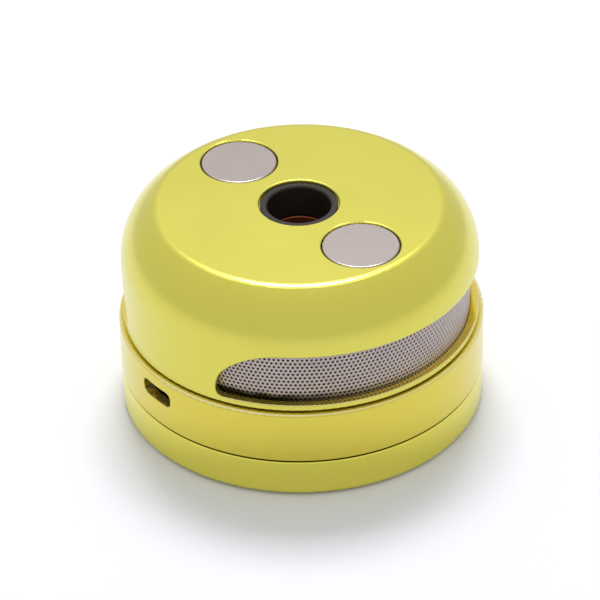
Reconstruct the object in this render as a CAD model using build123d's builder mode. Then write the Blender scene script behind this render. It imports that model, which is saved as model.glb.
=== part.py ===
"""Palm-size rechargeable glass grinder for the ends of glass tubes and rods. Millimetres, +Z up.

The origin is on the table, under the middle of the round body. The charging opening faces -Y, and
the two push buttons and the two screened windows lie on +X and -X. A tube is pushed down through
the guide bush in the top, onto the abrasive disc in a spinning cup. The top cap lifts off.
"""

from build123d import *
from math import cos, degrees, hypot, radians, sin
import os

os.makedirs("parts", exist_ok=True)

joined = 1.0  # how far two shapes of one piece run into each other
tolerance = 0.01  # for finding an edge by where it lies

# ---- Outside: heights from the table up, and radii ----
foot_proud = 0.5  # how far the rubber feet hold the base off the table
base_height = 8.7
ring_height = 11.9
cap_gap = 0.3  # shadow gap between the ring and the cap
cap_height = 26.4
body_radius = 39.0  # middle ring
base_setback = 0.1  # the base cover is this much smaller than the ring
cap_setback = 1.0  # and the cap this much
ring_wall = 2.2
cap_wall = 1.7
shoulder_radius = 13.7  # round shoulder of the cap
shoulder_rise = 12.2  # from where the shoulder starts up to the flat top
crest_radius = 2.5  # soft edge between shoulder and flat top
top_wall = 3.0
seam_groove = 0.4  # height of the shadow groove between base and ring
seam_depth = 0.8
edge_round = 0.3
rim_round = 0.6  # upper outer edge of the ring
base_edge_round = 0.9
attic_step = 0.6  # the hollow above the screens is this much narrower than them
attic_taper = 3.5

# ---- Windows in the cap's side ----
window_half_angle = 66.0
window_sill = 1.35  # thin rim that runs on under the window
window_height = 12.15
window_corner_side_radius = 7.6  # large upper corner: an arc at the side runs into a wider one at the top
window_corner_top_radius = 17.5
window_low_corner = 1.5
window_edge_round = 0.25

# ---- Screens and their seat ----
screen_gap = 0.2  # between the cap's wall and the screen behind it
screen_thickness = 0.5
screen_half_angle = 84.0
screen_cover = 1.2  # how far the screen runs on above the window
seat_drop = 0.3  # the screens stand this much below the sill
seat_lip = 3.5  # the seat runs in this far past the screens
seat_clearance = 0.1
cap_clearance = 0.35  # lift-off fit of the seat in the middle ring
spigot_depth = 1.0  # how deep the seat drops into the middle ring

# ---- Guide bush ----
bore_radius = 6.75
bush_wall = 1.5
bush_mouth_clearance = 0.3  # visible gap round the bush at the top
bush_mouth_depth = 1.3
bush_recess = 0.5  # bush face below the cap's top
bush_flange = 1.8
bush_flange_height = 1.5
bush_length = 7.1
bush_mouth_chamfer = 0.3

# ---- Push buttons and their switches ----
button_radius = 8.05
button_circle_radius = 20.6
button_clearance = 0.28
button_recess = 0.1
button_flange = 1.0
button_flange_height = 1.2
button_travel = 0.6
button_edge_round = 0.3
spring_height = 3.3
spring_radius = 5.6
spring_wire = 0.5
spring_turns = 3
spring_end_room = 0.1
switch_side = 6.0
switch_height = 2.5
plunger_radius = 1.7
plunger_clearance = 0.3
plunger_length = 1.5
plunger_stroke_room = 0.2
switch_board_thickness = 1.2
switch_board_outer = 29.5
switch_board_gap = 1.2  # from the bush flange to the board's inner edge
post_circle_radius = 24.0
post_radius = 2.0
post_angles = (55, 125, 235, 305)
small_screw_radius = 0.8
small_head_radius = 1.5
small_head_height = 1.0
small_screw_length = 4.2

# ---- Motor deck, cap magnets and contacts ----
deck_thickness = 1.5
deck_clearance = 0.2
flange_height = 1.5  # shelf in the middle ring that carries the deck
flange_width = 3.8
flange_notch_skin = 0.4  # kept between the shelf's notch and the ring wall's outer half
magnet_radius = 1.5
magnet_height = 1.0
magnet_gap = 0.1  # each magnet's face lies this much inside its pocket
magnet_angles = (45, 135, 225, 315)
contact_post_width = 9.0
contact_post_depth = 4.0
contact_post_distance = 26.0
contact_post_corner = 1.0
contact_pin_count = 3
contact_pin_radius = 0.5
contact_pin_pitch = 2.5
contact_pin_height = 2.0

# ---- Case screws, pillars and feet ----
pillar_radius = 3.0
pillar_angles = (90, 210, 330)
pillar_inset = 4.2  # from the ring's inner wall to the pillar's axis
case_screw_radius = 1.2
case_hole_clearance = 0.2
case_head_radius = 2.1
case_socket_radius = 1.1
case_head_height = 1.6
case_head_room = 0.9
foot_radius = 4.0
foot_height = 1.5
foot_circle_radius = 28.5
foot_angles = (45, 135, 225, 315)
base_floor = 2.2
base_spigot_height = 2.7
base_spigot_wall = 1.8
base_spigot_clearance = 0.2
pillar_joint_height = 3.7  # base pillars end this high above the seam

# ---- Charging opening and receptacle ----
port_width = 9.1
port_height = 3.6
port_corner = 1.4
port_drop = 4.6  # from the ring's top down to the middle of the opening
port_edge_round = 0.15
usb_width = 8.94
usb_height = 3.2
usb_depth = 7.3
usb_wall = 0.3
usb_back = 0.6
usb_corner = 1.3
usb_setback = 0.5
tongue_width = 6.6
tongue_height = 0.7
tongue_length = 5.6

# ---- Main board and what is on it ----
board_thickness = 1.6
board_pillar_gap = 0.5
board_tab_width = 12.0
board_tab_length = 5.4
board_post_circle = 26.0
board_post_radius = 2.2
board_post_angles = (60, 120, 240, 300)
board_screw_length = 6.0
# Each chip's place on the board and the length of its sides.
chips = {"driver_chip": ((8, -6), 7), "charger_chip": ((-9, -14), 4), "controller_chip": ((-12, 5), 5)}
chip_height = 1.0
capacitor_places = ((18, 4), (18, -8), (-20, -4))
capacitor_radius = 2.0
capacitor_height = 1.9
motor_connector_height = 1.4

# ---- Battery ----
battery_length = 42.0
battery_width = 30.0
battery_height = 5.6
battery_corner = 2.0
battery_edge_round = 0.8
battery_pad_height = 0.5
battery_pad_margin = 3.0
connector_length = 4.0
connector_width = 6.0
connector_height = 2.4
connector_gap = 1.0  # from the end of the cell
lead_radius = 0.45
lead_bend = 1.3

# ---- Motor ----
motor_radius = 14.0
motor_height = 10.5
motor_wall = 0.8
motor_floor = 1.2
bearing_bore_clearance = 0.03
bearing_radius = 3.5
bearing_height = 2.0
bearing_hub_wall = 1.0
bearing_lift = 0.5
stack_height = 4.8
tooth_count = 9
tooth_width = 2.4
yoke_width = 1.2
air_gap = 0.5
rotor_radius = 7.6
coil_width = 5.0
coil_depth = 2.2
coil_end = 0.9
motor_screw_circle = 10.0
motor_screw_radius = 1.0
motor_screw_head = 1.7
motor_screw_angles = (30, 150, 270)
lead_pitch = 1.2
motor_lead_radius = 0.4
lead_hole_radius = 2.4
lead_hole_distance = 18.0

# ---- Spindle, slinger and grinding cup ----
shaft_radius = 1.5
shaft_end_room = 0.3
slinger_gap = 0.4
slinger_radius = 22.0
slinger_plate = 0.8
slinger_hub_radius = 4.0
slinger_hub_height = 2.4
vane_count = 10
vane_thickness = 0.9
vane_start = 9.0
vane_end_room = 1.75  # the vanes stop this far inside the slinger's edge
vane_height = 1.4
vane_sweep = 25.0
cup_running_gap = 0.3  # between the bush and the cup's rim
cup_overlap = 0.85  # the cup reaches this much outside the bore
cup_wall = 1.2
cup_floor = 1.8
abrasive_height = 1.0
abrasive_clearance = 0.1
cup_screw_radius = 1.0
cup_screw_head = 2.2
cup_screw_depth = 3.0
cup_screw_head_height = 1.2

# ---- Levels and radii that follow ----
base_bottom = foot_proud
base_top = base_bottom + base_height
ring_top = base_top + ring_height
cap_bottom = ring_top + cap_gap
cap_top = cap_bottom + cap_height
ceiling = cap_top - top_wall
base_radius = body_radius - base_setback
ring_inner = body_radius - ring_wall
cap_radius = body_radius - cap_setback
cap_inner = cap_radius - cap_wall
window_bottom = cap_bottom + window_sill
window_top = window_bottom + window_height
screen_outer = cap_inner - screen_gap
screen_inner = screen_outer - screen_thickness
screen_top = window_top + screen_cover
attic_radius = screen_inner - attic_step
deck_top = ring_top - spigot_depth
deck_bottom = deck_top - deck_thickness
flange_bottom = deck_bottom - flange_height
seat_inner = screen_inner - seat_lip
seat_outer = ring_inner - cap_clearance
seat_top = window_bottom - seat_drop
magnet_circle = (seat_inner + seat_outer) / 2
bush_radius = bore_radius + bush_wall
bush_top = cap_top - bush_recess
bush_bottom = bush_top - bush_length
bush_flange_radius = bush_radius + bush_flange
button_top = cap_top - button_recess
button_bottom = ceiling - button_flange_height
plunger_bottom = button_bottom - plunger_length
switch_board_top = button_bottom - spring_height
switch_board_bottom = switch_board_top - switch_board_thickness
pillar_circle = ring_inner - pillar_inset
pillar_top = base_top + pillar_joint_height
port_z = ring_top - port_drop
board_top = port_z - usb_height / 2
board_bottom = board_top - board_thickness
board_radius = pillar_circle - pillar_radius - board_pillar_gap
floor_top = base_bottom + base_floor
spigot_radius = ring_inner - base_spigot_clearance
base_inner = spigot_radius - base_spigot_wall
battery_bottom = floor_top + battery_pad_height
battery_top = battery_bottom + battery_height
motor_top = deck_top + motor_height
slinger_bottom = motor_top + slinger_gap
slinger_top = slinger_bottom + slinger_hub_height
cup_top = bush_bottom - cup_running_gap
cup_radius = bore_radius + cup_overlap
cup_inner = cup_radius - cup_wall
cup_floor_top = slinger_top + cup_floor
shaft_top = cup_floor_top + abrasive_height / 2
stack_bottom = deck_top + (motor_height - stack_height) / 2
sides = {"right": 0, "left": 180}


def save(name, part):
    part.label = name
    export_step(part, f"parts/{name}.step")


def level_plane(angle, distance, z):
    """A level plane at that height, with its origin that far from the axis and X pointing outwards."""
    out = Vector(cos(radians(angle)), sin(radians(angle)), 0)
    return Plane(origin=out * distance + Vector(0, 0, z), x_dir=out, z_dir=(0, 0, 1))


def outward_plane(angle, distance, z=0.0):
    """A plane that faces out from the axis at that angle, with Y up."""
    out = Vector(cos(radians(angle)), sin(radians(angle)), 0)
    return Plane(origin=out * distance + Vector(0, 0, z), x_dir=(-out.Y, out.X, 0), z_dir=out)


def mouth_edges(part, radius, low, high):
    """The edges of an opening where it meets the round outer face, between two heights."""
    def on_face(edge):
        points = [edge @ along for along in (0, 0.5, 1)]
        return all(abs(hypot(point.X, point.Y) - radius) < tolerance
                   and low - tolerance < point.Z < high + tolerance for point in points)
    return part.edges().filter_by(on_face)


# ======== Top cap ========
# Outer outline: straight side, round shoulder, then a soft edge to the flat top.
shoulder_centre = (cap_radius - shoulder_radius, cap_top - shoulder_rise)
shoulder_end = shoulder_centre[0] + (shoulder_radius**2 - shoulder_rise**2) ** 0.5
turn_half = cos(radians(45))  # the two arcs of the upper corner meet halfway round
window_corner_width = window_corner_side_radius * (1 - turn_half) + window_corner_top_radius * turn_half
window_corner_height = window_corner_side_radius * turn_half + window_corner_top_radius * (1 - turn_half)
window_end_half_width = window_corner_width / 2 + window_low_corner / 2
window_end_angle = window_half_angle - degrees(window_end_half_width / cap_radius)
window_middle_angle = window_end_angle - degrees(window_corner_width / 2 / cap_radius)

with BuildPart() as top_cap:
    with BuildSketch(Plane.XZ):
        with BuildLine():
            side = Line((cap_radius, cap_bottom), (cap_radius, shoulder_centre[1]))
            shoulder = TangentArc(side @ 1, (shoulder_end, cap_top), tangent=side % 1)
            Polyline(shoulder @ 1, (0, cap_top), (0, ceiling), (attic_radius - attic_taper, ceiling),
                     (attic_radius, screen_top), (cap_inner, screen_top), (cap_inner, cap_bottom), side @ 0)
        make_face()
    revolve(axis=Axis.Z)
    crest = top_cap.edges().filter_by(GeomType.CIRCLE).filter_by_position(
        Axis.Z, cap_top - tolerance, cap_top + tolerance)
    fillet(crest, crest_radius)
    foot = top_cap.edges().filter_by(GeomType.CIRCLE).filter_by_position(
        Axis.Z, cap_bottom - tolerance, cap_bottom + tolerance).sort_by(SortBy.RADIUS)[-1]
    fillet(foot, edge_round)
    # Bosses that carry the switch board.
    with BuildSketch(Plane.XY.offset(switch_board_top)) as bosses:
        for angle in post_angles:
            with Locations(level_plane(angle, post_circle_radius, 0).origin):
                Circle(post_radius)
    extrude(amount=ceiling - switch_board_top)
    for angle in post_angles:
        with BuildSketch(level_plane(angle, post_circle_radius, switch_board_top)):
            Circle(small_screw_radius)
        extrude(amount=small_screw_length - switch_board_thickness, mode=Mode.SUBTRACT)
    # Central hole: a press fit for the bush below, a wider mouth above.
    with BuildSketch(Plane.XY.offset(ceiling)):
        Circle(bush_radius)
    extrude(amount=top_wall, mode=Mode.SUBTRACT)
    with BuildSketch(Plane.XY.offset(cap_top)):
        Circle(bush_radius + bush_mouth_clearance)
    extrude(amount=-bush_mouth_depth, mode=Mode.SUBTRACT)
    # Holes for the two buttons.
    for angle in sides.values():
        with BuildSketch(level_plane(angle, button_circle_radius, ceiling)):
            Circle(button_radius + button_clearance)
        extrude(amount=top_wall, mode=Mode.SUBTRACT)
    hole_edges = top_cap.edges().filter_by(GeomType.CIRCLE).filter_by_position(
        Axis.Z, cap_top - tolerance, cap_top + tolerance).filter_by(lambda edge: edge.radius < cap_radius / 2)
    fillet(hole_edges, edge_round)
    # Two long side windows with a large upper corner at each end.
    for angle in sides.values():
        with BuildSketch(Plane.XZ.rotated((0, 0, angle - window_middle_angle))):
            with Locations((cap_inner, (window_bottom + window_top) / 2)):
                Rectangle(4 * cap_wall, window_height)
        revolve(axis=Axis.Z, revolution_arc=2 * window_middle_angle, mode=Mode.SUBTRACT)
        for turn in (-1, 1):
            with BuildSketch(outward_plane(angle + turn * window_end_angle, cap_inner - 2 * cap_wall)):
                with BuildLine():
                    reach = turn * window_end_half_width
                    low = window_bottom
                    high = window_top
                    side_angle = 0 if turn > 0 else 180
                    Line((-reach, low), (reach - turn * window_low_corner, low))
                    CenterArc((reach - turn * window_low_corner, low + window_low_corner), window_low_corner,
                              -90, turn * 90)
                    Line((reach, low + window_low_corner), (reach, high - window_corner_height))
                    CenterArc((reach - turn * window_corner_side_radius, high - window_corner_height),
                              window_corner_side_radius, side_angle, turn * 45)
                    CenterArc((reach - turn * window_corner_width, high - window_corner_top_radius),
                              window_corner_top_radius, 90 - turn * 45, turn * 45)
                    Polyline((reach - turn * window_corner_width, high), (-reach, high), (-reach, low))
                make_face()
            extrude(amount=4 * cap_wall, mode=Mode.SUBTRACT)
    fillet(mouth_edges(top_cap, cap_radius, window_bottom, window_top), window_edge_round)
save("top_cap", top_cap.part)


# ======== What is fixed in the top cap ========
with BuildPart() as guide_bush:
    with BuildSketch(Plane.XZ):
        with BuildLine():
            Polyline((bore_radius, bush_bottom), (bush_radius, bush_bottom),
                     (bush_radius, ceiling - bush_flange_height),
                     (bush_flange_radius, ceiling - bush_flange_height),
                     (bush_flange_radius, ceiling), (bush_radius, ceiling), (bush_radius, bush_top),
                     (bore_radius, bush_top), close=True)
        make_face()
    revolve(axis=Axis.Z)
    mouth = guide_bush.edges().filter_by(GeomType.CIRCLE).group_by(Axis.Z)[-1]
    chamfer(mouth.sort_by(SortBy.RADIUS)[0], bush_mouth_chamfer)
    fillet(guide_bush.edges().filter_by(GeomType.CIRCLE).group_by(Axis.Z)[-1].sort_by(SortBy.RADIUS)[-1],
           bush_mouth_chamfer / 2)
save("guide_bush", guide_bush.part)

with BuildPart() as screen_seat:
    with BuildSketch(Plane.XZ):
        with BuildLine():
            Polyline((seat_inner, deck_top), (seat_outer, deck_top), (seat_outer, cap_bottom),
                     (cap_inner - seat_clearance, cap_bottom), (cap_inner - seat_clearance, seat_top),
                     (seat_inner, seat_top), close=True)
        make_face()
    revolve(axis=Axis.Z)
    for angle in magnet_angles:
        with BuildSketch(level_plane(angle, magnet_circle, deck_top)):
            Circle(magnet_radius)
        extrude(amount=magnet_height + magnet_gap, mode=Mode.SUBTRACT)
save("screen_seat", screen_seat.part)

for name, angle in sides.items():
    with BuildPart() as screen:
        with BuildSketch(Plane.XZ.rotated((0, 0, angle - screen_half_angle))):
            with Locations(((screen_inner + screen_outer) / 2, (seat_top + screen_top) / 2)):
                Rectangle(screen_thickness, screen_top - seat_top)
        revolve(axis=Axis.Z, revolution_arc=2 * screen_half_angle)
    save(f"screen_{name}", screen.part)

with BuildPart() as switch_board:
    with BuildSketch(Plane.XY.offset(switch_board_bottom)):
        Circle(switch_board_outer)
        Circle(bush_flange_radius + switch_board_gap, mode=Mode.SUBTRACT)
        for angle in post_angles:
            with Locations(level_plane(angle, post_circle_radius, 0).origin):
                Circle(small_screw_radius, mode=Mode.SUBTRACT)
    extrude(amount=switch_board_thickness)
save("switch_board", switch_board.part)

with BuildPart() as switch_board_screws:
    for angle in post_angles:
        with BuildSketch(level_plane(angle, post_circle_radius, switch_board_bottom)):
            Circle(small_screw_radius)
        extrude(amount=small_screw_length)
        with BuildSketch(level_plane(angle, post_circle_radius, switch_board_bottom)):
            Circle(small_head_radius)
        extrude(amount=-small_head_height)
save("switch_board_screws", switch_board_screws.part)

with BuildPart() as cap_magnets:
    for angle in magnet_angles:
        with BuildSketch(level_plane(angle, magnet_circle, deck_top + magnet_gap)):
            Circle(magnet_radius)
        extrude(amount=magnet_height)
save("cap_magnets", cap_magnets.part)

# ======== Buttons, springs and switches ========
for name, angle in sides.items():
    with BuildPart() as button:
        with BuildSketch(level_plane(angle, button_circle_radius, ceiling)):
            Circle(button_radius)
        extrude(amount=button_top - ceiling)
        fillet(button.edges().filter_by(GeomType.CIRCLE).group_by(Axis.Z)[-1], button_edge_round)
        with BuildSketch(level_plane(angle, button_circle_radius, button_bottom)):
            Circle(button_radius + button_flange)
        extrude(amount=button_flange_height)
    save(f"button_{name}", button.part)

    spring_run = spring_height - spring_wire - 2 * spring_end_room
    with BuildPart() as spring:
        start = level_plane(angle, button_circle_radius, switch_board_top + spring_wire / 2 + spring_end_room)
        with BuildLine(start):
            coil = Helix(pitch=spring_run / spring_turns, height=spring_run, radius=spring_radius)
        with BuildSketch(Plane(origin=coil @ 0, z_dir=coil % 0)):
            Circle(spring_wire / 2)
        sweep(path=coil, is_frenet=True)
    save(f"button_spring_{name}", spring.part)

    with BuildPart() as housing:
        with BuildSketch(level_plane(angle, button_circle_radius, switch_board_top)):
            Rectangle(switch_side, switch_side)
        extrude(amount=switch_height)
        fillet(housing.edges().filter_by(Axis.Z), edge_round)
        well_bottom = plunger_bottom - plunger_stroke_room - button_travel
        with BuildSketch(level_plane(angle, button_circle_radius, well_bottom)):
            Circle(plunger_radius + plunger_clearance)
        extrude(amount=spring_height, mode=Mode.SUBTRACT)
    save(f"switch_housing_{name}", housing.part)

    with BuildPart() as plunger:
        with BuildSketch(level_plane(angle, button_circle_radius, plunger_bottom)):
            Circle(plunger_radius)
        extrude(amount=button_bottom - plunger_bottom)
    save(f"switch_plunger_{name}", plunger.part)

# ======== Middle ring ========
with BuildPart() as middle_ring:
    with BuildSketch(Plane.XZ):
        with BuildLine():
            Polyline((ring_inner, base_top), (body_radius, base_top), (body_radius, ring_top),
                     (ring_inner, ring_top),
                     (ring_inner, deck_bottom), (ring_inner - flange_width, deck_bottom),
                     (ring_inner - flange_width, flange_bottom), (ring_inner, flange_bottom), close=True)
        make_face()
    revolve(axis=Axis.Z)
    outer_edges = middle_ring.edges().filter_by(GeomType.CIRCLE).group_by(SortBy.RADIUS)[-1].sort_by(Axis.Z)
    fillet(outer_edges[-1], rim_round)
    fillet(outer_edges[0], edge_round)
    with BuildSketch(Plane.XY.offset(pillar_top)):
        for angle in pillar_angles:
            with Locations(level_plane(angle, pillar_circle, 0).origin):
                Circle(pillar_radius)
    extrude(amount=deck_bottom - pillar_top)
    for angle in pillar_angles:
        with BuildSketch(level_plane(angle, pillar_circle, pillar_top)):
            Circle(case_screw_radius + case_hole_clearance)
        extrude(amount=deck_bottom - pillar_top, mode=Mode.SUBTRACT)
    # Notch in the shelf, over the receptacle, and the charging opening through the wall.
    notch_middle = (flange_bottom + deck_bottom) / 2
    with BuildSketch(outward_plane(-90, ring_inner - flange_width - joined, notch_middle)):
        Rectangle(board_tab_width, flange_height)
    extrude(amount=flange_width + joined - flange_notch_skin, mode=Mode.SUBTRACT)
    with BuildSketch(outward_plane(-90, ring_inner - ring_wall, port_z)):
        RectangleRounded(port_width, port_height, port_corner)
    extrude(amount=3 * ring_wall, mode=Mode.SUBTRACT)
    port_rim = mouth_edges(middle_ring, body_radius, port_z - port_height / 2, port_z + port_height / 2)
    fillet(port_rim, port_edge_round)
save("middle_ring", middle_ring.part)

# ======== Motor deck ========
with BuildPart() as motor_deck:
    with BuildSketch(Plane.XY.offset(deck_bottom)):
        Circle(ring_inner - deck_clearance)
        for angle in pillar_angles:
            with Locations(level_plane(angle, pillar_circle, 0).origin):
                Circle(case_screw_radius, mode=Mode.SUBTRACT)
        for angle in motor_screw_angles:
            with Locations(level_plane(angle, motor_screw_circle, 0).origin):
                Circle(motor_screw_radius, mode=Mode.SUBTRACT)
        with Locations((0, lead_hole_distance)):
            Circle(lead_hole_radius, mode=Mode.SUBTRACT)
    extrude(amount=deck_thickness)
    for angle in magnet_angles:
        with BuildSketch(level_plane(angle, magnet_circle, deck_top)):
            Circle(magnet_radius)
        extrude(amount=-magnet_height - magnet_gap, mode=Mode.SUBTRACT)
save("motor_deck", motor_deck.part)

with BuildPart() as deck_magnets:
    for angle in magnet_angles:
        with BuildSketch(level_plane(angle, magnet_circle, deck_top - magnet_gap)):
            Circle(magnet_radius)
        extrude(amount=-magnet_height)
save("deck_magnets", deck_magnets.part)

with BuildPart() as contact_post:
    with BuildSketch(Plane.XY.offset(deck_top)):
        with Locations((0, -contact_post_distance)):
            RectangleRounded(contact_post_width, contact_post_depth, contact_post_corner)
    extrude(amount=switch_board_bottom - contact_pin_height - deck_top)
save("contact_post", contact_post.part)

with BuildPart() as contact_pins:
    with BuildSketch(Plane.XY.offset(switch_board_bottom - contact_pin_height)):
        with Locations((0, -contact_post_distance)):
            with GridLocations(contact_pin_pitch, 0, contact_pin_count, 1):
                Circle(contact_pin_radius)
    extrude(amount=contact_pin_height)
save("contact_pins", contact_pins.part)

# ======== Base cover, case screws and feet ========
with BuildPart() as base_cover:
    with BuildSketch(Plane.XZ):
        with BuildLine():
            Polyline((0, base_bottom), (base_radius, base_bottom), (base_radius, base_top - seam_groove),
                     (base_radius - seam_depth, base_top - seam_groove), (base_radius - seam_depth, base_top),
                     (spigot_radius, base_top), (spigot_radius, base_top + base_spigot_height),
                     (base_inner, base_top + base_spigot_height), (base_inner, floor_top), (0, floor_top),
                     close=True)
        make_face()
    revolve(axis=Axis.Z)
    outer_edges = base_cover.edges().filter_by(GeomType.CIRCLE).group_by(SortBy.RADIUS)[-1].sort_by(Axis.Z)
    fillet(outer_edges[0], base_edge_round)
    fillet(outer_edges[-1], edge_round)
    with BuildSketch(Plane.XY.offset(floor_top)):
        for angle in pillar_angles:
            with Locations(level_plane(angle, pillar_circle, 0).origin):
                Circle(pillar_radius)
    extrude(amount=pillar_top - floor_top)
    with BuildSketch(Plane.XY.offset(floor_top)):
        for angle in board_post_angles:
            with Locations(level_plane(angle, board_post_circle, 0).origin):
                Circle(board_post_radius)
    extrude(amount=board_bottom - floor_top)
    for angle in pillar_angles:
        with BuildSketch(level_plane(angle, pillar_circle, base_bottom)):
            Circle(case_screw_radius + case_hole_clearance)
        extrude(amount=pillar_top - base_bottom, mode=Mode.SUBTRACT)
        with BuildSketch(level_plane(angle, pillar_circle, base_bottom)):
            Circle(case_head_radius + case_hole_clearance)
        extrude(amount=case_head_height + case_head_room, mode=Mode.SUBTRACT)
    for angle in board_post_angles:
        with BuildSketch(level_plane(angle, board_post_circle, board_bottom)):
            Circle(small_screw_radius)
        extrude(amount=board_thickness - board_screw_length, mode=Mode.SUBTRACT)
    for angle in foot_angles:
        with BuildSketch(level_plane(angle, foot_circle_radius, base_bottom)):
            Circle(foot_radius)
        extrude(amount=foot_height - foot_proud, mode=Mode.SUBTRACT)
save("base_cover", base_cover.part)

head_seat = base_bottom + case_head_height + case_head_room
with BuildPart() as case_screws:
    for angle in pillar_angles:
        with BuildSketch(level_plane(angle, pillar_circle, head_seat)):
            Circle(case_screw_radius)
        extrude(amount=deck_top - seat_clearance - head_seat)
        with BuildSketch(level_plane(angle, pillar_circle, head_seat)):
            Circle(case_head_radius)
            RegularPolygon(case_socket_radius, 6, mode=Mode.SUBTRACT)
        extrude(amount=-case_head_height)
save("case_screws", case_screws.part)

with BuildPart() as rubber_feet:
    for angle in foot_angles:
        with BuildSketch(level_plane(angle, foot_circle_radius, 0)):
            Circle(foot_radius)
        extrude(amount=foot_height)
    fillet(rubber_feet.edges().filter_by(GeomType.CIRCLE).group_by(Axis.Z)[0], foot_proud / 2)
save("rubber_feet", rubber_feet.part)

# ======== Main board ========
tab_middle = -(board_radius + board_tab_length / 2)
with BuildPart() as main_board:
    with BuildSketch(Plane.XY.offset(board_bottom)):
        Circle(board_radius)
        with Locations((0, tab_middle + joined)):
            Rectangle(board_tab_width, board_tab_length + 2 * joined)
        for angle in board_post_angles:
            with Locations(level_plane(angle, board_post_circle, 0).origin):
                Circle(small_screw_radius, mode=Mode.SUBTRACT)
    extrude(amount=board_thickness)
save("main_board", main_board.part)

with BuildPart() as board_screws:
    for angle in board_post_angles:
        with BuildSketch(level_plane(angle, board_post_circle, board_top)):
            Circle(small_head_radius)
        extrude(amount=small_head_height)
        with BuildSketch(level_plane(angle, board_post_circle, board_top)):
            Circle(small_screw_radius)
        extrude(amount=-board_screw_length)
save("board_screws", board_screws.part)

usb_face = ring_inner - usb_setback
with BuildPart() as usb_shell:
    with BuildSketch(outward_plane(-90, usb_face, port_z)):
        RectangleRounded(usb_width, usb_height, usb_corner)
    extrude(amount=-usb_depth)
    with BuildSketch(outward_plane(-90, usb_face, port_z)):
        RectangleRounded(usb_width - 2 * usb_wall, usb_height - 2 * usb_wall, usb_corner - usb_wall)
    extrude(amount=-(usb_depth - usb_back), mode=Mode.SUBTRACT)
save("usb_shell", usb_shell.part)

with BuildPart() as usb_tongue:
    with BuildSketch(outward_plane(-90, usb_face - usb_depth + usb_back, port_z)):
        Rectangle(tongue_width, tongue_height)
    extrude(amount=tongue_length)
save("usb_tongue", usb_tongue.part)

for name, (place, side_length) in chips.items():
    with BuildPart() as chip:
        with BuildSketch(Plane.XY.offset(board_top)):
            with Locations(place):
                Rectangle(side_length, side_length)
        extrude(amount=chip_height)
    save(name, chip.part)

with BuildPart() as board_capacitors:
    with BuildSketch(Plane.XY.offset(board_top)):
        with Locations(*capacitor_places):
            Circle(capacitor_radius)
    extrude(amount=capacitor_height)
save("board_capacitors", board_capacitors.part)

with BuildPart() as motor_connector:
    with BuildSketch(Plane.XY.offset(board_top)):
        with Locations((0, lead_hole_distance)):
            Rectangle(connector_width, connector_length)
    extrude(amount=motor_connector_height)
save("motor_connector", motor_connector.part)

# ======== Battery ========
with BuildPart() as battery_pad:
    with BuildSketch(Plane.XY.offset(floor_top)):
        Rectangle(battery_length - 2 * battery_pad_margin, battery_width - 2 * battery_pad_margin)
    extrude(amount=battery_pad_height)
save("battery_pad", battery_pad.part)

with BuildPart() as battery_cell:
    with BuildSketch(Plane.XY.offset(battery_bottom)):
        RectangleRounded(battery_length, battery_width, battery_corner)
    extrude(amount=battery_height)
    fillet(battery_cell.edges().group_by(Axis.Z)[-1], battery_edge_round)
save("battery_cell", battery_cell.part)

connector_x = battery_length / 2 + connector_length / 2 + connector_gap
with BuildPart() as battery_connector:
    with BuildSketch(Plane.XY.offset(board_bottom)):
        with Locations((connector_x, 0)):
            Rectangle(connector_length, connector_width)
    extrude(amount=-connector_height)
save("battery_connector", battery_connector.part)

lead_level = battery_top - battery_height / 3
with BuildPart() as battery_leads:
    for shift in (-connector_width / 4, connector_width / 4):
        with BuildLine(Plane.XZ.offset(shift)):
            route = FilletPolyline((battery_length / 2, lead_level), (connector_x, lead_level),
                                   (connector_x, board_bottom - connector_height), radius=lead_bend)
        with BuildSketch(Plane(origin=route @ 0, z_dir=route % 0)):
            Circle(lead_radius)
        sweep(path=route)
save("battery_leads", battery_leads.part)

# ======== Motor ========
hub_radius = bearing_radius + bearing_hub_wall
can_floor_top = deck_top + motor_floor
lower_bearing_bottom = deck_top + bearing_lift
upper_bearing_top = motor_top - bearing_lift
with BuildPart() as motor_can:
    with BuildSketch(Plane.XZ):
        with BuildLine():
            Polyline((shaft_radius + bearing_lift, deck_top), (motor_radius, deck_top),
                     (motor_radius, motor_top),
                     (shaft_radius + bearing_lift, motor_top),
                     (shaft_radius + bearing_lift, upper_bearing_top), (bearing_radius, upper_bearing_top),
                     (bearing_radius, upper_bearing_top - bearing_height),
                     (hub_radius, upper_bearing_top - bearing_height), (hub_radius, motor_top - motor_wall),
                     (motor_radius - motor_wall, motor_top - motor_wall),
                     (motor_radius - motor_wall, can_floor_top), (hub_radius, can_floor_top),
                     (hub_radius, lower_bearing_bottom + bearing_height),
                     (bearing_radius, lower_bearing_bottom + bearing_height),
                     (bearing_radius, lower_bearing_bottom),
                     (shaft_radius + bearing_lift, lower_bearing_bottom),
                     close=True)
        make_face()
    revolve(axis=Axis.Z)
    for angle in motor_screw_angles:
        with BuildSketch(level_plane(angle, motor_screw_circle, deck_top)):
            Circle(motor_screw_radius)
        extrude(amount=motor_floor, mode=Mode.SUBTRACT)
    fillet(motor_can.edges().filter_by(GeomType.CIRCLE).group_by(SortBy.RADIUS)[-1].sort_by(Axis.Z)[-1],
           motor_wall / 2)
save("motor_can", motor_can.part)

for name, bottom in (("lower", lower_bearing_bottom), ("upper", upper_bearing_top - bearing_height)):
    with BuildPart() as bearing:
        with BuildSketch(Plane.XY.offset(bottom)):
            Circle(bearing_radius)
            Circle(shaft_radius + bearing_bore_clearance, mode=Mode.SUBTRACT)
        extrude(amount=bearing_height)
    save(f"{name}_bearing", bearing.part)

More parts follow.
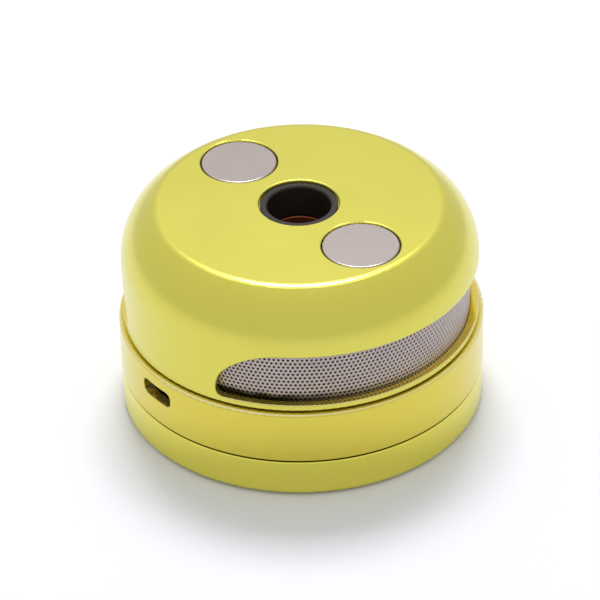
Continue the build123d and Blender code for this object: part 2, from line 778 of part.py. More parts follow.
core_outer = motor_radius - motor_wall
tooth_tip = rotor_radius + air_gap
with BuildPart() as stator_core:
    with BuildSketch(Plane.XY.offset(stack_bottom)):
        Circle(core_outer)
        Circle(core_outer - yoke_width, mode=Mode.SUBTRACT)
        with PolarLocations((tooth_tip + core_outer - yoke_width / 2) / 2, tooth_count):
            Rectangle(core_outer - yoke_width / 2 - tooth_tip, tooth_width)
        Circle(tooth_tip, mode=Mode.SUBTRACT)
    extrude(amount=stack_height)
save("stator_core", stator_core.part)

coil_middle = (tooth_tip + core_outer - yoke_width) / 2
with BuildPart() as stator_coils:
    for place in PolarLocations(coil_middle - coil_depth / 2, tooth_count).locations:
        with BuildSketch(Plane(place * Location((0, 0, stack_bottom + stack_height / 2), (0, 90, 0)))):
            RectangleRounded(stack_height + 2 * coil_end, coil_width, coil_end)
            Rectangle(stack_height, tooth_width, mode=Mode.SUBTRACT)
        extrude(amount=coil_depth)
save("stator_coils", stator_coils.part)

with BuildPart() as motor_screws:
    for angle in motor_screw_angles:
        with BuildSketch(level_plane(angle, motor_screw_circle, deck_bottom)):
            Circle(motor_screw_radius)
        extrude(amount=deck_thickness + motor_floor)
        with BuildSketch(level_plane(angle, motor_screw_circle, deck_bottom)):
            Circle(motor_screw_head)
        extrude(amount=-small_head_height)
save("motor_screws", motor_screws.part)

lead_height = can_floor_top + lead_radius
with BuildPart() as motor_leads:
    for shift in (-lead_pitch, 0, lead_pitch):
        near_side = max(abs(shift) - motor_lead_radius, 0)
        start_y = (motor_radius**2 - near_side**2) ** 0.5
        with BuildLine(Plane.YZ.offset(shift)):
            route = FilletPolyline((start_y, lead_height), (lead_hole_distance, lead_height),
                                   (lead_hole_distance, board_top + motor_connector_height), radius=lead_bend)
        with BuildSketch(Plane(origin=route @ 0, z_dir=route % 0)):
            Circle(motor_lead_radius)
        sweep(path=route)
save("motor_leads", motor_leads.part)

# ======== Spindle, which turns as one ========
with BuildPart() as spindle:
    with BuildSketch(Plane.XY.offset(deck_top + shaft_end_room)):
        Circle(shaft_radius)
    extrude(amount=shaft_top - deck_top - shaft_end_room)
    chamfer(spindle.edges().group_by(Axis.Z)[0], edge_round)
    with BuildSketch(Plane.XY.offset(shaft_top)):
        Circle(cup_screw_radius)
    extrude(amount=-cup_screw_depth, mode=Mode.SUBTRACT)
save("spindle", spindle.part)

with BuildPart() as rotor_magnet:
    with BuildSketch(Plane.XY.offset(stack_bottom)):
        Circle(rotor_radius)
        Circle(shaft_radius, mode=Mode.SUBTRACT)
    extrude(amount=stack_height)
save("rotor_magnet", rotor_magnet.part)

with BuildPart() as slinger_fan:
    with BuildSketch(Plane.XY.offset(slinger_bottom)):
        Circle(slinger_radius)
        Circle(shaft_radius, mode=Mode.SUBTRACT)
    extrude(amount=slinger_plate)
    with BuildSketch(Plane.XY.offset(slinger_bottom)):
        Circle(slinger_hub_radius)
        Circle(shaft_radius, mode=Mode.SUBTRACT)
    extrude(amount=slinger_hub_height)
    vane_length = slinger_radius - vane_end_room - vane_start
    with BuildSketch(Plane.XY.offset(slinger_bottom + slinger_plate)):
        for place in PolarLocations(vane_start + vane_length / 2, vane_count).locations:
            with Locations(place * Location((0, 0, 0), (0, 0, vane_sweep))):
                SlotOverall(vane_length, vane_thickness)
    extrude(amount=vane_height)
save("slinger_fan", slinger_fan.part)

with BuildPart() as grinding_cup:
    with BuildSketch(Plane.XZ):
        with BuildLine():
            Polyline((shaft_radius, slinger_top), (cup_radius, slinger_top), (cup_radius, cup_top),
                     (cup_inner, cup_top), (cup_inner, cup_floor_top), (shaft_radius, cup_floor_top),
                     close=True)
        make_face()
    revolve(axis=Axis.Z)
    fillet(grinding_cup.edges().filter_by(GeomType.CIRCLE).group_by(Axis.Z)[-1], edge_round)
save("grinding_cup", grinding_cup.part)

with BuildPart() as abrasive_disc:
    with BuildSketch(Plane.XY.offset(cup_floor_top)):
        Circle(cup_inner - abrasive_clearance)
        Circle(cup_screw_head + abrasive_clearance, mode=Mode.SUBTRACT)
    extrude(amount=abrasive_height)
save("abrasive_disc", abrasive_disc.part)

with BuildPart() as cup_screw:
    with BuildSketch(Plane.XY.offset(shaft_top)):
        Circle(cup_screw_head)
    extrude(amount=cup_screw_head_height)
    with BuildSketch(Plane.XY.offset(shaft_top)):
        Circle(cup_screw_radius)
    extrude(amount=-cup_screw_depth)
save("cup_screw", cup_screw.part)
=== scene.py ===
"""The looks of the palm-size glass grinder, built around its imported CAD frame. Metres, +Z up."""

import bmesh
import bpy
import math
from mathutils import Matrix, Vector


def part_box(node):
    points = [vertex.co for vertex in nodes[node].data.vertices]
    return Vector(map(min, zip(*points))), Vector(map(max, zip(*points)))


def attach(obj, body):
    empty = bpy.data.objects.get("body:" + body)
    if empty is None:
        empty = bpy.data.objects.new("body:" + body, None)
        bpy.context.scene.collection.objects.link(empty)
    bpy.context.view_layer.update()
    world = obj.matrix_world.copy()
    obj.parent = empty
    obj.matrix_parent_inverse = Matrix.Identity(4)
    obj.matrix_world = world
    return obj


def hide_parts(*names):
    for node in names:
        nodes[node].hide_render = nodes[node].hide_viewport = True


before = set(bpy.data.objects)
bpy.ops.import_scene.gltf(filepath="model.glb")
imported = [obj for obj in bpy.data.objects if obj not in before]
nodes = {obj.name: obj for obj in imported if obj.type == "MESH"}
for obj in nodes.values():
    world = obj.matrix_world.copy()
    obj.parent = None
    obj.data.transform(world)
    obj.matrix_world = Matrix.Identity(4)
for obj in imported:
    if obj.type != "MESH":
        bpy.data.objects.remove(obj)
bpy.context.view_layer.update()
MM = 0.001


# ======== Building a material ========
NOISE_RANGE = (0.3, 0.7)  # a noise stays mostly between these
WAVE_PERIOD = 0.314  # metres from crest to crest of a wave texture at scale 1


def scaled(color, factor, lift=0.0):
    """A colour made darker or lighter, held at white."""
    return tuple(min(1, c * factor + lift) for c in color)


class Material:
    """A node material under construction, with short calls for the nodes that repeat."""

    def __init__(self, name, color, metallic=0.0, roughness=0.5):
        self.data = bpy.data.materials.new(name)
        self.data.use_nodes = True
        self.tree = self.data.node_tree
        self.shader = self.tree.nodes["Principled BSDF"]
        self.shader.inputs["Base Color"].default_value = (*color, 1)
        self.shader.inputs["Metallic"].default_value = metallic
        self.shader.inputs["Roughness"].default_value = roughness
        coordinates = self.new("ShaderNodeTexCoord")
        self.place = coordinates.outputs["Object"]
        self.facing = coordinates.outputs["Normal"]
        self.height = None

    def new(self, kind, **values):
        """A new node of that kind, with its properties set."""
        node = self.tree.nodes.new(kind)
        for key, value in values.items():
            setattr(node, key, value)
        return node

    def link(self, output, node, key):
        self.tree.links.new(output, node.inputs[key])

    def set(self, key, value):
        self.shader.inputs[key].default_value = value

    def stretched(self, scale):
        """The object's own coordinates, scaled along each axis."""
        mapping = self.new("ShaderNodeMapping")
        mapping.inputs["Scale"].default_value = scale
        self.link(self.place, mapping, "Vector")
        return mapping.outputs["Vector"]

    def noise(self, scale, detail=3.0, place=None, roughness=0.55):
        node = self.new("ShaderNodeTexNoise")
        node.inputs["Scale"].default_value = scale
        node.inputs["Detail"].default_value = detail
        node.inputs["Roughness"].default_value = roughness
        self.link(place or self.place, node, "Vector")
        return node.outputs["Fac"]

    def cells(self, scale):
        """The distance to the nearest of many scattered points."""
        node = self.new("ShaderNodeTexVoronoi")
        node.inputs["Scale"].default_value = scale
        self.link(self.place, node, "Vector")
        return node.outputs["Distance"]

    def waves(self, kind, period, place=None):
        """Fine waves along Z (BANDS) or round the Z axis (RINGS). Returns the node."""
        turn = {"BANDS": "bands_direction", "RINGS": "rings_direction"}[kind]
        node = self.new("ShaderNodeTexWave", wave_type=kind, **{turn: "Z"})
        node.inputs["Scale"].default_value = WAVE_PERIOD / period
        self.link(place or self.place, node, "Vector")
        return node

    def span(self, value, low, high, from_low=0.0, from_high=1.0):
        """value carried from one range to another, held at its ends."""
        node = self.new("ShaderNodeMapRange")
        node.inputs["From Min"].default_value = from_low
        node.inputs["From Max"].default_value = from_high
        node.inputs["To Min"].default_value = low
        node.inputs["To Max"].default_value = high
        self.link(value, node, "Value")
        return node.outputs["Result"]

    def vary(self, noise, low, high):
        """A number that follows a noise from low to high."""
        return self.span(noise, low, high, *NOISE_RANGE)

    def math(self, operation, a, b):
        node = self.new("ShaderNodeMath", operation=operation)
        for index, value in enumerate((a, b)):
            if isinstance(value, (int, float)):
                node.inputs[index].default_value = value
            else:
                self.link(value, node, index)
        return node.outputs[0]

    def mix(self, factor, a, b):
        """A colour between a and b."""
        node = self.new("ShaderNodeMix", data_type="RGBA")
        self.link(factor, node, 0)
        for key, value in ((6, a), (7, b)):
            if isinstance(value, tuple):
                node.inputs[key].default_value = (*value, 1)
            else:
                self.link(value, node, key)
        return node.outputs[2]

    def mottle(self, noise, a, b):
        """A colour that follows a noise from a to b."""
        return self.mix(self.vary(noise, 0, 1), a, b)

    def part(self, vector, axis):
        """One component of a vector, by its letter."""
        node = self.new("ShaderNodeSeparateXYZ")
        self.link(vector, node, "Vector")
        return node.outputs[axis]

    def blend(self, factor, a, b):
        """A number between a and b, each a number or an output."""
        node = self.new("ShaderNodeMix", data_type="FLOAT")
        self.link(factor, node, 0)
        for key, value in ((2, a), (3, b)):
            if isinstance(value, (int, float)):
                node.inputs[key].default_value = value
            else:
                self.link(value, node, key)
        return node.outputs[0]

    def color(self, output):
        self.link(output, self.shader, "Base Color")

    def roughness(self, output):
        self.link(output, self.shader, "Roughness")

    def bump(self, height, distance, strength=1.0):
        """Adds relief of that height in metres on top of what is there."""
        node = self.new("ShaderNodeBump")
        node.inputs["Strength"].default_value = strength
        node.inputs["Distance"].default_value = distance
        self.link(height, node, "Height")
        if self.height is not None:
            self.link(self.height, node, "Normal")
        self.height = node.outputs["Normal"]
        self.link(self.height, self.shader, "Normal")


# ======== Colours that several pieces share ========
LEMON, LEMON_DEEP = (0.71, 0.66, 0.104), (0.70, 0.645, 0.095)
# painted light: a lighter copy of the lemon lacquer for the base, offsetting the floor shadow the base
# reflects
LEMON_LIT, LEMON_LIT_DEEP = (0.82, 0.755, 0.112), (0.80, 0.735, 0.105)
GOLD, GOLD_DEEP = (0.72, 0.61, 0.075), (0.705, 0.595, 0.068)
# painted highlight: the cream colour of bright lines on rounded edges
EDGE_HIGHLIGHT = (0.95, 0.86, 0.42)
# painted highlight: the brighter gold of polished up-facing cut faces
CUT_FACE_HIGHLIGHT = (0.98, 0.76, 0.12)
# painted shade: the dark colour inside the seam groove between base and middle ring
SEAM_SHADE_COLOR = (0.03, 0.025, 0.008)
# painted shade: the near-black along the screens' foot
SILL_SHADE_COLOR = (0.02, 0.016, 0.01)


# ======== Materials ========
LACQUER_METALLIC = 0.85
EDGE_HIGHLIGHT_SHARE = 0.9  # share of the painted highlight colour on a rounded edge
EDGE_FADE = 0.1 * MM  # height over which the painted edge highlights and the polished, brighter-painted faces end
POLISHED_ROUGHNESS = 0.12
GROOVE_FADE = 0.01 * MM


def lacquer(name, color, deep_color, roughness, coat, edge_top=-1.0, groove=1.0):
    """Metallic lacquer: fine flakes, a slightly uneven clear coat, faint wiping marks.

    Below edge_top, rounded edges that look upwards get a painted highlight, a bright cream line, and cut
    faces that look straight up are polished and painted a brighter gold as a painted highlight. Above groove
    the colour is painted shade, dark inside the seam groove. Left out, both heights lie beyond the object,
    and neither shows.
    """
    m = Material(name, color, metallic=LACQUER_METALLIC, roughness=roughness)
    up = m.part(m.facing, "Z")
    below = m.span(m.part(m.place, "Z"), 1, 0, edge_top, edge_top + EDGE_FADE)
    rounded = m.math("MULTIPLY", m.span(up, 0, 1, 0.5, 0.7), m.span(up, 1, 0, 0.93, 0.99))
    # painted highlight: rounded edges that look upwards, below edge_top, get a bright cream line
    edge = m.math("MULTIPLY", rounded, below)
    # polished up-facing cut faces, also painted a brighter gold as a painted highlight
    cut_face = m.math("MULTIPLY", m.span(up, 0, 1, 0.93, 0.98), below)
    plain = m.mottle(m.noise(30, detail=2), color, deep_color)
    edge_highlighted = m.mix(m.math("MULTIPLY", edge, EDGE_HIGHLIGHT_SHARE), plain, EDGE_HIGHLIGHT)
    cut = m.mix(cut_face, edge_highlighted, CUT_FACE_HIGHLIGHT)
    # painted shade: dark above groove, in the seam between base and middle ring
    seam_shade = m.span(m.part(m.place, "Z"), 0, 1, groove, groove + GROOVE_FADE)
    m.color(m.mix(seam_shade, cut, SEAM_SHADE_COLOR))
    smudge = m.vary(m.noise(110, detail=5, roughness=0.6), roughness - 0.004, roughness + 0.006)
    wipe = m.span(m.noise(60, detail=6, place=m.stretched((1, 1, 14))), -0.004, 0.005, 0.35, 0.65)
    m.roughness(m.blend(cut_face, m.math("ADD", smudge, wipe), POLISHED_ROUGHNESS))
    m.set("Coat Weight", coat)
    m.set("Coat Roughness", 0.07)
    m.set("Coat IOR", 1.5)
    m.bump(m.cells(5200), 0.0000005, 0.2)
    return m.data


def turned_metal(name, color, roughness, pitch, centre=(0, 0, 0), depth=0.000004, metallic=1.0, gloss=0.5):
    """A turned piece, bare metal unless metallic is 0, with fine marks round an upright axis at centre."""
    m = Material(name, color, metallic=metallic, roughness=roughness)
    shift = m.new("ShaderNodeMapping")
    shift.inputs["Location"].default_value = tuple(-c for c in centre)
    m.link(m.place, shift, "Vector")
    rings = m.waves("RINGS", pitch, place=shift.outputs["Vector"])
    rings.inputs["Distortion"].default_value = 0.6
    rings.inputs["Detail Scale"].default_value = 40
    cloud = m.noise(160, detail=4)
    m.color(m.mottle(cloud, scaled(color, 0.985), color))
    marks = m.span(rings.outputs["Fac"], roughness - 0.03, roughness + 0.03)
    m.roughness(m.math("ADD", marks, m.vary(cloud, -0.006, 0.006)))
    m.set("Specular IOR Level", gloss)
    m.bump(rings.outputs["Fac"], depth, 0.5)
    return m.data


def blasted_metal(name, color, roughness, grain=2600, depth=0.000006):
    """Fine bead-blasted or rolled sheet metal, with faint handling marks."""
    m = Material(name, color, metallic=1.0, roughness=roughness)
    m.color(m.mottle(m.noise(140, detail=5), scaled(color, 0.93), scaled(color, 1.05)))
    m.roughness(m.vary(m.noise(260, detail=4), roughness - 0.06, roughness + 0.07))
    m.bump(m.noise(grain, detail=2), depth, 0.4)
    return m.data


RAGGED = 0.3 * MM  # how far the painted shade's upper edge strays
SILL_SHADE_FULL, SILL_SHADE_NONE = -26 * MM, 4 * MM  # along Y, where the painted shade is darkest and where it ends


def screen_steel(name, color, roughness, foot, foot_height):
    """Rolled sheet metal with painted shade along its foot next to the sill, darkest towards -Y."""
    m = Material(name, color, metallic=1.0, roughness=roughness)
    clean = m.mottle(m.noise(140, detail=5), scaled(color, 0.95), scaled(color, 1.05))
    stray = m.vary(m.noise(260, detail=3), -RAGGED, RAGGED)
    ragged = m.math("ADD", m.part(m.place, "Z"), stray)
    low_down = m.span(ragged, 1, 0, foot + 0.4 * foot_height, foot + foot_height)
    sideways = m.span(m.part(m.place, "Y"), 1, 0, SILL_SHADE_FULL, SILL_SHADE_NONE)
    # painted shade: darker near the sill and towards -Y
    m.color(m.mix(m.math("MULTIPLY", low_down, sideways), clean, SILL_SHADE_COLOR))
    m.roughness(m.vary(m.noise(260, detail=4), roughness - 0.06, roughness + 0.07))
    m.bump(m.noise(2600, detail=2), 0.000006, 0.4)
    return m.data


def brushed_metal(name, color, roughness):
    """Sheet metal brushed along X."""
    m = Material(name, color, metallic=1.0, roughness=roughness)
    brush = m.noise(150, detail=6, place=m.stretched((1, 26, 26)), roughness=0.7)
    m.color(m.mottle(brush, scaled(color, 0.86), scaled(color, 1.1)))
    m.roughness(m.vary(brush, roughness - 0.08, roughness + 0.1))
    m.bump(brush, 0.000005, 0.5)
    return m.data


def moulded_plastic(name, color, roughness, grain=1500, depth=0.000012):
    """Moulded plastic with a fine spark-eroded grain and slight gloss changes."""
    m = Material(name, color, roughness=roughness)
    m.color(m.mottle(m.noise(90, detail=4), color, scaled(color, 1.18, lift=0.004)))
    m.roughness(m.vary(m.noise(320, detail=4), roughness - 0.07, roughness + 0.08))
    m.bump(m.cells(grain), depth, 0.4)
    return m.data


def rubber(name, color):
    """Dull rubber with dust in its pores."""
    m = Material(name, color, roughness=0.78)
    dust = m.noise(260, detail=6, roughness=0.65)
    m.color(m.mix(m.span(dust, 0, 1, 0.5, 0.8), color, scaled(color, 2.2, lift=0.01)))
    m.roughness(m.vary(dust, 0.7, 0.9))
    m.set("Specular IOR Level", 0.35)
    m.bump(m.noise(1800, detail=3), 0.00002, 0.5)
    return m.data


def circuit_board(name):
    """Green solder mask over copper tracks, with small tinned pads."""
    mask, track, pad = (0.012, 0.10, 0.035), (0.03, 0.2, 0.07), (0.72, 0.7, 0.62)
    m = Material(name, mask, roughness=0.28)
    lines = m.new("ShaderNodeTexBrick", offset=0.35, squash=2.2, squash_frequency=3)
    lines.inputs["Scale"].default_value = 420
    lines.inputs["Mortar Size"].default_value = 0.028
    lines.inputs["Mortar Smooth"].default_value = 0.3
    m.link(m.place, lines, "Vector")
    tracks = m.mix(lines.outputs["Fac"], mask, track)
    pads = m.span(m.cells(330), 1.0, 0.0, 0.10, 0.14)
    m.color(m.mix(pads, tracks, pad))
    m.link(pads, m.shader, "Metallic")
    m.roughness(m.vary(m.noise(500, detail=3), 0.22, 0.38))
    m.bump(m.math("ADD", lines.outputs["Fac"], pads), 0.00003, 0.5)
    return m.data


def winding(name):
    """Enamelled copper wire, layer beside layer."""
    copper = (0.62, 0.23, 0.07)
    m = Material(name, copper, metallic=1.0, roughness=0.3)
    wires = m.waves("RINGS", 0.28 * MM)
    m.color(m.mix(wires.outputs["Fac"], (0.2, 0.06, 0.02), copper))
    m.roughness(m.vary(m.noise(400), 0.25, 0.42))
    m.set("Coat Weight", 0.5)
    m.set("Coat Roughness", 0.15)
    m.bump(wires.outputs["Fac"], 0.00006, 0.8)
    return m.data


def laminations(name):
    """A stack of thin steel sheets."""
    m = Material(name, (0.3, 0.3, 0.31), metallic=1.0, roughness=0.45)
    sheets = m.waves("BANDS", 0.35 * MM)
    m.color(m.mix(sheets.outputs["Fac"], (0.1, 0.09, 0.085), (0.36, 0.36, 0.37)))
    m.roughness(m.vary(m.noise(600), 0.38, 0.55))
    m.bump(sheets.outputs["Fac"], 0.00004, 0.7)
    return m.data


def grit(name):
    """Diamond grit set in a dark bond."""
    m = Material(name, (0.2, 0.17, 0.14), roughness=0.5)
    grains = m.cells(2600)
    sparkle = m.span(m.noise(2100, detail=2), 0, 1, 0.55, 0.72)
    bond = m.mix(m.span(grains, 0, 1, 0.15, 0.5), (0.42, 0.38, 0.33), (0.1, 0.08, 0.065))
    m.color(m.mix(sparkle, bond, (0.72, 0.7, 0.62)))
    m.roughness(m.span(sparkle, 0.65, 0.2))
    m.bump(grains, 0.00012, 0.9)
    return m.data


def foil(name):
    """Laminated foil of a pouch cell, with soft wrinkles."""
    m = Material(name, (0.62, 0.63, 0.65), metallic=1.0, roughness=0.34)
    folds = m.noise(170, detail=3, place=m.stretched((1, 0.45, 1)))
    m.color(m.mottle(m.noise(60), (0.55, 0.56, 0.58), (0.68, 0.69, 0.7)))
    m.roughness(m.vary(folds, 0.26, 0.45))
    m.bump(folds, 0.0003, 0.5)
    m.bump(m.cells(1400), 0.00001, 0.3)
    return m.data


def foam(name):
    """Open-pored black foam."""
    m = Material(name, (0.03, 0.03, 0.032), roughness=0.95)
    pores = m.cells(2200)
    m.color(m.mix(m.span(pores, 0, 1, 0.1, 0.5), (0.01, 0.01, 0.01), (0.05, 0.05, 0.052)))
    m.roughness(m.span(pores, 0.85, 1.0))
    m.bump(pores, 0.0001, 0.8)
    return m.data


SCREEN_BELOW_SILL = 0.3 * MM  # how far the screens reach below the windows' sills
SEAM_HEIGHT = 0.42 * MM  # the groove between base and middle ring, and the edge below it
SILL_SHADE_HEIGHT = 2.2 * MM  # how far up from the sill the painted shade reaches
DISC_SATIN = (0.47, 0.41, 0.388)
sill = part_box("screen_right")[0].z + SCREEN_BELOW_SILL
ring_low, ring_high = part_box("middle_ring")
rim = ring_high.z - EDGE_FADE / 2
seam = ring_low.z - SEAM_HEIGHT
finishes = {
    "cap_lacquer": lacquer("cap_lacquer", LEMON, LEMON_DEEP, 0.27, 0.25, edge_top=sill + EDGE_FADE),
    "ring_lacquer": lacquer("ring_lacquer", GOLD, GOLD_DEEP, 0.22, 0.3, edge_top=rim),
    "base_lacquer": lacquer("base_lacquer", LEMON_LIT, LEMON_LIT_DEEP, 0.26, 0.25, groove=seam),
    "seat_lacquer": lacquer("seat_lacquer", GOLD, GOLD_DEEP, 0.12, 0.5, edge_top=rim),
    "bush": turned_metal("bush_dark", (0.016, 0.012, 0.009), 0.45, 0.00012, metallic=0.0, gloss=0.3),
    "screen": screen_steel("screen_steel", (0.47, 0.41, 0.395), 0.36, sill, SILL_SHADE_HEIGHT),
    "bronze": turned_metal("cup_bronze", (0.36, 0.105, 0.045), 0.34, 0.00016),
    "can": turned_metal("motor_aluminium", (0.66, 0.66, 0.67), 0.3, 0.00022),
    "deck": brushed_metal("deck_aluminium", (0.58, 0.585, 0.6), 0.33),
    "steel": blasted_metal("bright_steel", (0.56, 0.56, 0.57), 0.28),
    "nickel": blasted_metal("magnet_nickel", (0.72, 0.71, 0.68), 0.16, grain=900, depth=0.000003),
    "pins": blasted_metal("pin_gold", (0.86, 0.62, 0.22), 0.2),
    "ferrite": moulded_plastic("rotor_ferrite", (0.035, 0.035, 0.04), 0.5),
    "black": moulded_plastic("black_plastic", (0.018, 0.018, 0.02), 0.42),
    "slinger": moulded_plastic("slinger_plastic", (0.022, 0.022, 0.024), 0.36, grain=2200, depth=0.000008),
    "chip": moulded_plastic("chip_epoxy", (0.015, 0.015, 0.016), 0.5, grain=3200),
    "white": moulded_plastic("white_plastic", (0.7, 0.68, 0.6), 0.4),
    "lead": moulded_plastic("lead_sleeve", (0.45, 0.015, 0.012), 0.38),
    "rubber": rubber("foot_rubber", (0.018, 0.018, 0.02)),
    "board": circuit_board("circuit_board"),
    "copper": winding("copper_winding"),
    "laminations": laminations("stator_steel"),
    "grit": grit("diamond_grit"),
    "foil": foil("cell_foil"),
    "foam": foam("pad_foam"),
}
for name in ("button_left", "button_right"):
    low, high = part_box(name)
    centre = (low + high) / 2
    finishes[name] = turned_metal(f"{name}_satin", DISC_SATIN, 0.3, 0.00009, centre, depth=0.0000004)

worn_by = {
    "top_cap": "cap_lacquer", "middle_ring": "ring_lacquer", "base_cover": "base_lacquer",
    "screen_seat": "seat_lacquer", "guide_bush": "bush", "button_left": "button_left",
    "button_right": "button_right", "grinding_cup": "bronze", "abrasive_disc": "grit",
    "cup_screw": "steel", "spindle": "steel", "slinger_fan": "slinger", "rotor_magnet": "ferrite",
    "motor_can": "can", "stator_core": "laminations", "stator_coils": "copper", "lower_bearing": "steel",
    "upper_bearing": "steel", "motor_deck": "deck", "motor_screws": "steel", "motor_leads": "lead",
    "motor_connector": "white", "deck_magnets": "nickel", "cap_magnets": "nickel", "contact_post": "black",
    "contact_pins": "pins", "switch_board": "board", "main_board": "board", "switch_board_screws": "steel",
    "board_screws": "steel", "case_screws": "steel", "button_spring_left": "steel",
    "button_spring_right": "steel", "switch_housing_left": "black", "switch_housing_right": "black",
    "switch_plunger_left": "white", "switch_plunger_right": "white", "driver_chip": "chip",
    "charger_chip": "chip", "controller_chip": "chip", "board_capacitors": "nickel", "usb_shell": "nickel",
    "usb_tongue": "black", "battery_cell": "foil", "battery_pad": "foam", "battery_connector": "white",
    "battery_leads": "lead", "rubber_feet": "rubber", "screen_left": "screen", "screen_right": "screen",
}
for name, finish in worn_by.items():
    mesh = nodes[name].data
    mesh.materials.clear()
    mesh.materials.append(finishes[finish])


# ======== Perforated screens ========
SCREEN_PITCH = 0.97 * MM
HOLE_RADIUS = 0.275 * MM
CELL_CORNERS = 6
HOLE_SIDES = 2 * CELL_CORNERS  # one for each corner and each edge middle of the cell
FIRST_CORNER = 30  # degrees: the cells stand on a corner
ANGLE_KEYS, HEIGHT_KEYS = 1e6, 1e8  # per radian and per metre: points closer than one key are one point


def cell_outline(corner, stretch, outer, scale):
    """The points round a hole's six-sided cell, corners and edge middles in turn, as (angle, height)."""
    corners = []
    for k in range(CELL_CORNERS + 1):
        turn = math.radians(FIRST_CORNER + 360 // CELL_CORNERS * k)
        corners.append((math.cos(turn) * corner / outer, math.sin(turn) * corner * stretch))
    outline = []
    for a, b in zip(corners, corners[1:]):
        outline.append((a[0] * scale, a[1]))
        outline.append(((a[0] + b[0]) / 2 * scale, (a[1] + b[1]) / 2))
    return outline


def hole_outline(outer):
    """The points round a hole, as (angle, height)."""
    turns = [math.radians(FIRST_CORNER + 360 * k / HOLE_SIDES) for k in range(HOLE_SIDES)]
    return [(math.cos(turn) * HOLE_RADIUS / outer, math.sin(turn) * HOLE_RADIUS) for turn in turns]


def cad_sheet_thickness(node, outer):
    """The sheet's thickness, read from its own corners."""
    return outer - min(math.hypot(v.co.x, v.co.y) for v in nodes[node].data.vertices)


def perforated_screen(node, side):
    """A curved sheet with staggered round holes in the plain CAD sheet's place. side is +1 or -1."""
    low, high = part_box(node)
    outer = max(abs(low.x), abs(high.x))
    half_arc = math.atan2(high.y, min(abs(low.x), abs(high.x)))
    corner = SCREEN_PITCH / math.sqrt(3)
    rows = int((high.z - low.z - 2 * corner) / (1.5 * corner)) + 1
    row_step = (high.z - low.z - 2 * corner) / (rows - 1)
    stretch = row_step / (1.5 * corner)
    columns = int(2 * half_arc * outer / SCREEN_PITCH) - 1
    step = (2 * half_arc - SCREEN_PITCH / outer) / columns
    cell = cell_outline(corner, stretch, outer, step * outer / SCREEN_PITCH)
    hole = hole_outline(outer)
    bm = bmesh.new()
    known = {}

    def point(angle, z):
        key = (round(angle * ANGLE_KEYS), round(z * HEIGHT_KEYS))
        if key not in known:
            known[key] = bm.verts.new((side * outer * math.cos(angle), outer * math.sin(angle), z))
        return known[key]

    for row in range(rows):
        z = low.z + corner * stretch + row * row_step
        for column in range(columns + 1 - row % 2):
            middle = (column - columns / 2 + 0.5 * (row % 2)) * step
            outside = [point(middle + x, z + y) for x, y in cell]
            inside = [point(middle + x, z + y) for x, y in hole]
            for k in range(HOLE_SIDES):
                n = (k + 1) % HOLE_SIDES
                bm.faces.new((outside[k], outside[n], inside[n], inside[k]))
    bmesh.ops.recalc_face_normals(bm, faces=bm.faces)
    if sum(f.normal.x * side for f in bm.faces) < 0:
        bmesh.ops.reverse_faces(bm, faces=bm.faces)
    for face in bm.faces:
        face.smooth = True
    mesh = bpy.data.meshes.new(f"perforated_{node}")
    bm.to_mesh(mesh)
    bm.free()
    piece = bpy.data.objects.new(f"perforated_{node}", mesh)
    bpy.context.scene.collection.objects.link(piece)
    mesh.materials.append(finishes["screen"])
    sheet = piece.modifiers.new("sheet", "SOLIDIFY")
    sheet.thickness = cad_sheet_thickness(node, outer)
    sheet.offset = -1
    return piece


for node, side in (("screen_right", 1), ("screen_left", -1)):
    screen = perforated_screen(node, side)
    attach(screen, "cap")
    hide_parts(node)


# ======== Shading of the CAD meshes ========
SHARP_ANGLE = math.radians(28)
for node in nodes.values():
    node.data.shade_smooth()
    node.data.set_sharp_from_angle(angle=SHARP_ANGLE)


# ======== Floor, light and camera ========
BODY_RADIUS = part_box("middle_ring")[1].x
VIEW_AZIMUTH = math.radians(52.3)
VIEW_ELEVATION = math.radians(35.07)
VIEW_ROLL = math.radians(-1.26)
VIEW_DISTANCE = 20.05 * BODY_RADIUS
AIM = Vector((0, 0, 0.613 * BODY_RADIUS))
SENSOR_WIDTH = 36
LENS = 219.55
SHIFT = (-0.0016, -0.00755)
FAR_CLIP = 20
FLOOR_RADIUS = 4
WORLD_STRENGTH = 0.74
PAPER, PAPER_DARK, PAPER_LIGHT = (0.83, 0.84, 0.91), (0.825, 0.835, 0.905), (0.835, 0.845, 0.915)


def direction(azimuth, elevation):
    """Unit vector from the object towards that azimuth, counted from the camera's own, and that elevation."""
    turn = VIEW_AZIMUTH + math.radians(azimuth)
    rise = math.radians(elevation)
    return Vector((math.sin(turn) * math.cos(rise), -math.cos(turn) * math.cos(rise), math.sin(rise)))


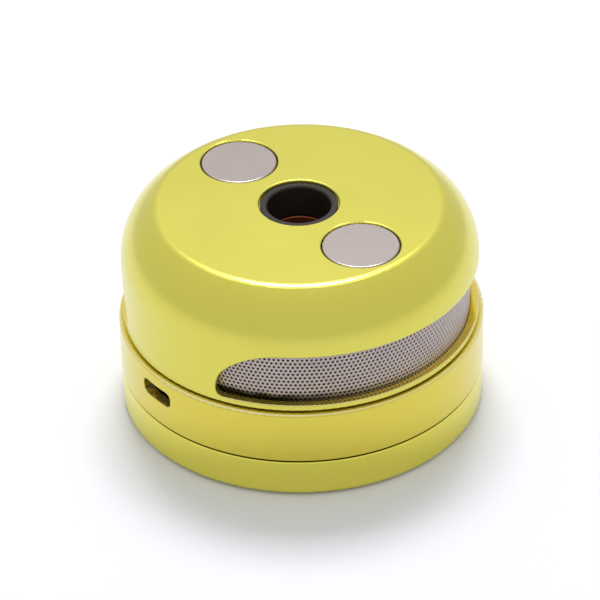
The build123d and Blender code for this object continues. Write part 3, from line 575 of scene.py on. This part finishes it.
def softbox(name, azimuth, elevation, distance, width, height, radiance):
    """A lamp panel that faces the object. radiance is how bright the panel itself looks."""
    light = bpy.data.lights.new(name, "AREA")
    light.shape = "RECTANGLE"
    light.size, light.size_y = width, height
    light.energy = radiance * math.pi * width * height
    lamp = bpy.data.objects.new(name, light)
    bpy.context.scene.collection.objects.link(lamp)
    lamp.location = AIM + direction(azimuth, elevation) * distance
    lamp.rotation_euler = (lamp.location - AIM).to_track_quat("Z", "Y").to_euler()


floor_mesh = bpy.data.meshes.new("floor")
bm = bmesh.new()
bmesh.ops.create_circle(bm, cap_ends=True, radius=FLOOR_RADIUS, segments=96)
bm.to_mesh(floor_mesh)
bm.free()
floor = bpy.data.objects.new("floor", floor_mesh)
bpy.context.scene.collection.objects.link(floor)
paper = Material("floor_paper", PAPER, roughness=0.9)
paper.color(paper.mix(paper.noise(3), PAPER_DARK, PAPER_LIGHT))
paper.bump(paper.noise(900, detail=3), 0.00001, 0.2)
floor_mesh.materials.append(paper.data)

world = bpy.data.worlds.new("studio")
bpy.context.scene.world = world
world.use_nodes = True
sky = world.node_tree.nodes["Background"]
sky.inputs["Color"].default_value = (1, 1, 1, 1)
sky.inputs["Strength"].default_value = WORLD_STRENGTH
softbox("key", azimuth=180, elevation=66, distance=0.8, width=0.29, height=0.23, radiance=19)

camera_data = bpy.data.cameras.new("camera")
camera = bpy.data.objects.new("camera", camera_data)
bpy.context.scene.collection.objects.link(camera)
camera_data.sensor_width = SENSOR_WIDTH
camera_data.lens = LENS
camera_data.shift_x, camera_data.shift_y = SHIFT
camera_data.clip_end = FAR_CLIP
back = direction(0, math.degrees(VIEW_ELEVATION))
right = Vector((math.cos(VIEW_AZIMUTH), math.sin(VIEW_AZIMUTH), 0))
up = back.cross(right)
rolled_right = right * math.cos(VIEW_ROLL) + up * math.sin(VIEW_ROLL)
rolled_up = up * math.cos(VIEW_ROLL) - right * math.sin(VIEW_ROLL)
camera.matrix_world = Matrix.Translation(AIM + back * VIEW_DISTANCE) @ Matrix(
    (rolled_right, rolled_up, back)).transposed().to_4x4()
bpy.context.scene.camera = camera
bpy.context.scene.view_settings.view_transform = "Standard"
